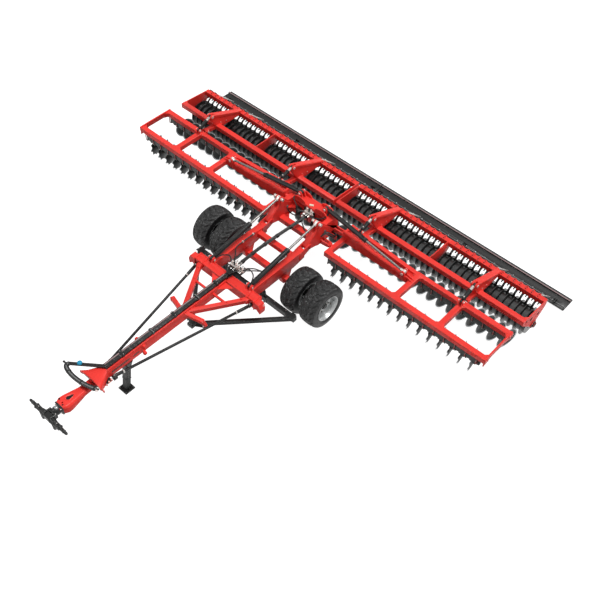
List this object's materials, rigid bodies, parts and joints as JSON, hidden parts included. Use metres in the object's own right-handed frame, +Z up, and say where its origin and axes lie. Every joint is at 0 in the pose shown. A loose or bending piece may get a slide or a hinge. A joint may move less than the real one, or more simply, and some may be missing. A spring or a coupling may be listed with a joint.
{
  "type": "trailed folding disc harrow",
  "caption": "Wide trailed disc harrow with twin transport wheels, two folding wings of notched and plain discs, ring rollers, scrapers, a rear levelling board and a drawbar.",
  "frame": {"origin": "on the ground, under the centre of the bounding box", "axes": "+X to the left side of the machine, -Y forward to the hitch, +Z up"},
  "size_m": [10.14, 9.4856, 1.425],
  "materials": {
    "red_paint": "semi-gloss orange-red enamel",
    "black_paint": "satin black enamel",
    "dark_grey_paint": "satin dark grey enamel",
    "disc_grey": "dark grey painted steel, worn at the edges",
    "roller_steel": "black painted ring roller with bright spots",
    "chrome_rod": "polished chrome",
    "rim_silver": "silver painted rims",
    "tyre_rubber": "matt black rubber"
  },
  "bodies": {
    "chassis": {"drawbar": "red_paint", "drawbar_neck": "red_paint", "hose_channel": "black_paint", "main_frame": "red_paint", "axle_beam": "red_paint", "guard_frame": "black_paint", "stay_rods": "black_paint", "jack_bracket": "dark_grey_paint"},
    "jack": {"jack_leg": "dark_grey_paint"},
    "hitch_yoke": {"hitch_yoke": "black_paint"},
    "hitch_shaft": {"hitch_cross_shaft": "black_paint"},
    "tilt_frame": {"tilt_frame": "red_paint", "centre_disc_row": "disc_grey"},
    "wheels_left": {"tyre_inner_left": "tyre_rubber", "tyre_outer_left": "tyre_rubber", "wheel_rims_left": "rim_silver"},
    "lift_barrel_left": {"lift_barrel_left": "black_paint"},
    "lift_rod_left": {"lift_rod_left": "chrome_rod"},
    "wing_left": {"wing_frame_left": "red_paint", "front_disc_row_left": "disc_grey", "rear_disc_row_left": "disc_grey", "roller_frame_left": "red_paint", "depth_cylinder_outer_left": "black_paint", "depth_cylinder_inner_left": "black_paint", "scraper_bar_inner_left": "black_paint", "scraper_bar_outer_left": "black_paint", "level_board_left": "black_paint"},
    "fold_barrel_left": {"fold_barrel_left": "black_paint"},
    "fold_rod_left": {"fold_rod_left": "chrome_rod"},
    "roller_inner_left": {"roller_inner_left": "roller_steel"},
    "roller_outer_left": {"roller_outer_left": "roller_steel"},
    "wheels_right": {"tyre_inner_right": "tyre_rubber", "tyre_outer_right": "tyre_rubber", "wheel_rims_right": "rim_silver"},
    "lift_barrel_right": {"lift_barrel_right": "black_paint"},
    "lift_rod_right": {"lift_rod_right": "chrome_rod"},
    "wing_right": {"wing_frame_right": "red_paint", "front_disc_row_right": "disc_grey", "rear_disc_row_right": "disc_grey", "roller_frame_right": "red_paint", "depth_cylinder_outer_right": "black_paint", "depth_cylinder_inner_right": "black_paint", "scraper_bar_inner_right": "black_paint", "scraper_bar_outer_right": "black_paint", "level_board_right": "black_paint"},
    "fold_barrel_right": {"fold_barrel_right": "black_paint"},
    "fold_rod_right": {"fold_rod_right": "chrome_rod"},
    "roller_inner_right": {"roller_inner_right": "roller_steel"},
    "roller_outer_right": {"roller_outer_right": "roller_steel"}
  },
  "joints": [
    {"name": "hitch_yaw", "type": "hinge", "parent": "chassis", "child": "hitch_yoke", "pos_m": [0, -4.50219, 0.858], "axis": [0, 0, 1], "range_deg": [-50, 50]},
    {"name": "hitch_pitch", "type": "hinge", "parent": "hitch_yoke", "child": "hitch_shaft", "pos_m": [0, -4.68219, 0.858], "axis": [1, 0, 0], "range_deg": [-20, 20]},
    {"name": "jack_swing", "type": "hinge", "parent": "chassis", "child": "jack", "pos_m": [0, -2.93719, 0.7], "axis": [-1, 0, 0], "range_deg": [0, 55]},
    {"name": "tilt", "type": "hinge", "parent": "chassis", "child": "tilt_frame", "pos_m": [0, 1.42281, 0.945], "axis": [1, 0, 0], "range_deg": [0, 90]},
    {"name": "wheels_left_spin", "type": "hinge", "parent": "chassis", "child": "wheels_left", "pos_m": [1.022, 0.76681, 0.486], "axis": [1, 0, 0], "continuous": true},
    {"name": "lift_barrel_left_swing", "type": "hinge", "parent": "chassis", "child": "lift_barrel_left", "pos_m": [0.53, -0.21919, 1.047], "axis": [1, 0, 0], "range_deg": [-3, 8]},
    {"name": "lift_rod_left_slide", "type": "slide", "parent": "lift_barrel_left", "child": "lift_rod_left", "axis": [0, 0.9856, 0.1692], "range_m": [-0.76, 0]},
    {"name": "wing_left_fold", "type": "hinge", "parent": "tilt_frame", "child": "wing_left", "pos_m": [0.8, 1.83281, 0.855], "axis": [0, -1, 0], "range_deg": [0, 90]},
    {"name": "fold_barrel_left_swing", "type": "hinge", "parent": "tilt_frame", "child": "fold_barrel_left", "pos_m": [0.35, 2.22281, 1.314], "axis": [0, -1, 0], "range_deg": [-2, 88]},
    {"name": "fold_rod_left_slide", "type": "slide", "parent": "fold_barrel_left", "child": "fold_rod_left", "axis": [0.986, 0, -0.1666], "range_m": [-0.91, 0]},
    {"name": "roller_inner_left_spin", "type": "hinge", "parent": "wing_left", "child": "roller_inner_left", "pos_m": [1.2, 3.41781, 0.32], "axis": [1, 0, 0], "continuous": true},
    {"name": "roller_outer_left_spin", "type": "hinge", "parent": "wing_left", "child": "roller_outer_left", "pos_m": [3.7, 3.41781, 0.32], "axis": [1, 0, 0], "continuous": true},
    {"name": "wheels_right_spin", "type": "hinge", "parent": "chassis", "child": "wheels_right", "pos_m": [-1.022, 0.76681, 0.486], "axis": [1, 0, 0], "continuous": true},
    {"name": "lift_barrel_right_swing", "type": "hinge", "parent": "chassis", "child": "lift_barrel_right", "pos_m": [-0.53, -0.21919, 1.047], "axis": [1, 0, 0], "range_deg": [-3, 8]},
    {"name": "lift_rod_right_slide", "type": "slide", "parent": "lift_barrel_right", "child": "lift_rod_right", "axis": [0, 0.9856, 0.1692], "range_m": [-0.76, 0]},
    {"name": "wing_right_fold", "type": "hinge", "parent": "tilt_frame", "child": "wing_right", "pos_m": [-0.8, 1.83281, 0.855], "axis": [0, 1, 0], "range_deg": [0, 90]},
    {"name": "fold_barrel_right_swing", "type": "hinge", "parent": "tilt_frame", "child": "fold_barrel_right", "pos_m": [-0.35, 2.22281, 1.314], "axis": [0, 1, 0], "range_deg": [-2, 88]},
    {"name": "fold_rod_right_slide", "type": "slide", "parent": "fold_barrel_right", "child": "fold_rod_right", "axis": [-0.986, 0, -0.1666], "range_m": [-0.91, 0]},
    {"name": "roller_inner_right_spin", "type": "hinge", "parent": "wing_right", "child": "roller_inner_right", "pos_m": [-1.2, 3.41781, 0.32], "axis": [1, 0, 0], "continuous": true},
    {"name": "roller_outer_right_spin", "type": "hinge", "parent": "wing_right", "child": "roller_outer_right", "pos_m": [-3.7, 3.41781, 0.32], "axis": [1, 0, 0], "continuous": true}
  ],
  "couplings": [
    {"joint": "lift_barrel_left_swing", "follows": "tilt", "ratio": -0.00574},
    {"joint": "lift_rod_left_slide", "follows": "tilt", "m_per_rad": -0.47464},
    {"joint": "fold_barrel_left_swing", "follows": "wing_left_fold", "ratio": 0.92598},
    {"joint": "fold_rod_left_slide", "follows": "wing_left_fold", "m_per_rad": -0.56627},
    {"joint": "lift_barrel_right_swing", "follows": "tilt", "ratio": -0.00574},
    {"joint": "lift_rod_right_slide", "follows": "tilt", "m_per_rad": -0.47464},
    {"joint": "fold_barrel_right_swing", "follows": "wing_right_fold", "ratio": 0.92598},
    {"joint": "fold_rod_right_slide", "follows": "wing_right_fold", "m_per_rad": -0.56627}
  ]
}
